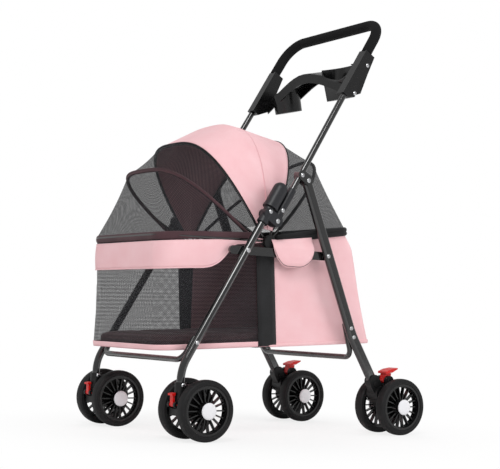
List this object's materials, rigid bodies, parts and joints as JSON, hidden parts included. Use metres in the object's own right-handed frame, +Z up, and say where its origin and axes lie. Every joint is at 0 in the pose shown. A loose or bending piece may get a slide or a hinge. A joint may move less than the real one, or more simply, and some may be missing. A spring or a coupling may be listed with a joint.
{
  "type": "pet stroller",
  "caption": "folding four-point pet stroller with paired wheels, swivelling front casters, cup tray and a hooded fabric carrier",
  "frame": {"origin": "centre of the plan footprint, on the floor under the wheels", "axes": "+X to the left side as the pusher sees it, +Y towards the pusher, +Z up"},
  "size_m": [0.506, 0.712, 1.0264],
  "materials": {
    "frame_paint": "gloss black powder coat",
    "pin_steel": "zinc plated",
    "black_plastic": "fine texture moulding",
    "grip_foam": "matte closed-cell foam",
    "tyre_foam": "matte black",
    "rim_plastic": "gloss black moulding",
    "red_plastic": "gloss red moulding",
    "pink_fabric": "woven polyester",
    "grey_mesh": "open knitted mesh",
    "mat_fabric": "padded mat",
    "board": "hard board",
    "rib_steel": "black coated wire"
  },
  "bodies": {
    "front_frame": {"front_leg_left": "frame_paint", "front_leg_right": "frame_paint", "front_crossbar": "frame_paint", "knuckle_left": "black_plastic", "knuckle_right": "black_plastic", "caster_sockets": "black_plastic", "front_rivets": "pin_steel"},
    "handle_frame": {"handle_tube": "frame_paint", "foam_grip": "grip_foam", "cup_tray": "black_plastic", "handle_rivets": "pin_steel", "handle_sleeve_left": "black_plastic", "handle_sleeve_right": "black_plastic", "leg_hangers": "black_plastic"},
    "rear_frame": {"rear_leg_left": "frame_paint", "rear_leg_right": "frame_paint", "rear_crossbar": "frame_paint", "rear_housing_left": "black_plastic", "rear_housing_right": "black_plastic", "rear_axles": "pin_steel", "rear_rivets": "pin_steel"},
    "side_links": {"side_link_left": "frame_paint", "side_link_right": "frame_paint"},
    "carrier": {"carrier_bag": "pink_fabric", "base_board": "board", "floor_mat": "mat_fabric", "rim_rods": "rib_steel", "hood_hubs": "black_plastic", "hood_ribs_rear": "rib_steel", "hood_mesh_rear": "grey_mesh"},
    "hood_canopy_frame": {"hood_rib_middle": "rib_steel", "hood_canopy": "pink_fabric"},
    "hood_front_frame": {"hood_rib_front": "rib_steel", "hood_mesh_front": "grey_mesh"},
    "fold_lock_left": {"fold_lock_left": "black_plastic"},
    "brake_left": {"brake_pedal_left": "red_plastic"},
    "caster_left": {"caster_fork_left": "black_plastic", "caster_axle_left": "pin_steel"},
    "swivel_lock_left": {"swivel_lock_left": "red_plastic"},
    "wheel_front_left_outer": {"tyre_front_left_outer": "tyre_foam", "rim_front_left_outer": "rim_plastic"},
    "wheel_front_left_inner": {"tyre_front_left_inner": "tyre_foam", "rim_front_left_inner": "rim_plastic"},
    "wheel_rear_left_outer": {"tyre_rear_left_outer": "tyre_foam", "rim_rear_left_outer": "rim_plastic"},
    "wheel_rear_left_inner": {"tyre_rear_left_inner": "tyre_foam", "rim_rear_left_inner": "rim_plastic"},
    "fold_lock_right": {"fold_lock_right": "black_plastic"},
    "brake_right": {"brake_pedal_right": "red_plastic"},
    "caster_right": {"caster_fork_right": "black_plastic", "caster_axle_right": "pin_steel"},
    "swivel_lock_right": {"swivel_lock_right": "red_plastic"},
    "wheel_front_right_outer": {"tyre_front_right_outer": "tyre_foam", "rim_front_right_outer": "rim_plastic"},
    "wheel_front_right_inner": {"tyre_front_right_inner": "tyre_foam", "rim_front_right_inner": "rim_plastic"},
    "wheel_rear_right_outer": {"tyre_rear_right_outer": "tyre_foam", "rim_rear_right_outer": "rim_plastic"},
    "wheel_rear_right_inner": {"tyre_rear_right_inner": "tyre_foam", "rim_rear_right_inner": "rim_plastic"}
  },
  "joints": [
    {"name": "fold", "type": "hinge", "parent": "front_frame", "child": "handle_frame", "pos_m": [0, -0.07, 0.497], "axis": [-1, 0, 0], "range_deg": [0, 145]},
    {"name": "rear_leg_fold", "type": "hinge", "parent": "handle_frame", "child": "rear_frame", "pos_m": [0, 0.01733, 0.59881], "axis": [1, 0, 0], "range_deg": [0, 98.73]},
    {"name": "side_link_fold", "type": "hinge", "parent": "front_frame", "child": "side_links", "pos_m": [0, -0.147, 0.42613], "axis": [-1, 0, 0], "range_deg": [0, 95.27]},
    {"name": "carrier_lift", "type": "slide", "parent": "front_frame", "child": "carrier", "axis": [0, -0.5, 0.866], "range_m": [0, 0.262]},
    {"name": "hood_open", "type": "hinge", "parent": "carrier", "child": "hood_canopy_frame", "pos_m": [0, -0.071, 0.449], "axis": [-1, 0, 0], "range_deg": [0, 46], "deforming": ["hood_canopy", "hood_mesh_front"]},
    {"name": "hood_front_fold", "type": "hinge", "parent": "hood_canopy_frame", "child": "hood_front_frame", "pos_m": [0, -0.071, 0.449], "axis": [-1, 0, 0], "range_deg": [0, 10]},
    {"name": "fold_lock_slide_left", "type": "slide", "parent": "front_frame", "child": "fold_lock_left", "axis": [0, 0.521, 0.8536], "range_m": [0, 0.012]},
    {"name": "brake_press_left", "type": "hinge", "parent": "rear_frame", "child": "brake_left", "pos_m": [0.199, 0.27151, 0.12976], "axis": [-1, 0, 0], "range_deg": [0, 18]},
    {"name": "caster_swivel_left", "type": "hinge", "parent": "front_frame", "child": "caster_left", "pos_m": [0.199, -0.311, 0.09], "axis": [0, 0, 1], "continuous": true},
    {"name": "swivel_lock_tilt_left", "type": "hinge", "parent": "caster_left", "child": "swivel_lock_left", "pos_m": [0.199, -0.328, 0.08], "axis": [1, 0, 0], "range_deg": [0, 25]},
    {"name": "wheel_spin_front_left_outer", "type": "hinge", "parent": "caster_left", "child": "wheel_front_left_outer", "pos_m": [0.239, -0.27, 0.068], "axis": [1, 0, 0], "continuous": true},
    {"name": "wheel_spin_front_left_inner", "type": "hinge", "parent": "caster_left", "child": "wheel_front_left_inner", "pos_m": [0.159, -0.27, 0.068], "axis": [1, 0, 0], "continuous": true},
    {"name": "wheel_spin_rear_left_outer", "type": "hinge", "parent": "rear_frame", "child": "wheel_rear_left_outer", "pos_m": [0.239, 0.288, 0.068], "axis": [1, 0, 0], "continuous": true},
    {"name": "wheel_spin_rear_left_inner", "type": "hinge", "parent": "rear_frame", "child": "wheel_rear_left_inner", "pos_m": [0.159, 0.288, 0.068], "axis": [1, 0, 0], "continuous": true},
    {"name": "fold_lock_slide_right", "type": "slide", "parent": "front_frame", "child": "fold_lock_right", "axis": [0, 0.521, 0.8536], "range_m": [0, 0.012]},
    {"name": "brake_press_right", "type": "hinge", "parent": "rear_frame", "child": "brake_right", "pos_m": [-0.199, 0.27151, 0.12976], "axis": [-1, 0, 0], "range_deg": [0, 18]},
    {"name": "caster_swivel_right", "type": "hinge", "parent": "front_frame", "child": "caster_right", "pos_m": [-0.199, -0.311, 0.09], "axis": [0, 0, 1], "continuous": true},
    {"name": "swivel_lock_tilt_right", "type": "hinge", "parent": "caster_right", "child": "swivel_lock_right", "pos_m": [-0.199, -0.328, 0.08], "axis": [1, 0, 0], "range_deg": [0, 25]},
    {"name": "wheel_spin_front_right_outer", "type": "hinge", "parent": "caster_right", "child": "wheel_front_right_outer", "pos_m": [-0.239, -0.27, 0.068], "axis": [1, 0, 0], "continuous": true},
    {"name": "wheel_spin_front_right_inner", "type": "hinge", "parent": "caster_right", "child": "wheel_front_right_inner", "pos_m": [-0.159, -0.27, 0.068], "axis": [1, 0, 0], "continuous": true},
    {"name": "wheel_spin_rear_right_outer", "type": "hinge", "parent": "rear_frame", "child": "wheel_rear_right_outer", "pos_m": [-0.239, 0.288, 0.068], "axis": [1, 0, 0], "continuous": true},
    {"name": "wheel_spin_rear_right_inner", "type": "hinge", "parent": "rear_frame", "child": "wheel_rear_right_inner", "pos_m": [-0.159, 0.288, 0.068], "axis": [1, 0, 0], "continuous": true}
  ],
  "couplings": [
    {"joint": "rear_leg_fold", "follows": "fold", "ratio": 0.67397},
    {"joint": "side_link_fold", "follows": "fold", "ratio": 0.65014},
    {"joint": "carrier_lift", "follows": "fold", "m_per_rad": 0.10274},
    {"joint": "hood_front_fold", "follows": "hood_open", "ratio": 0.20652}
  ]
}
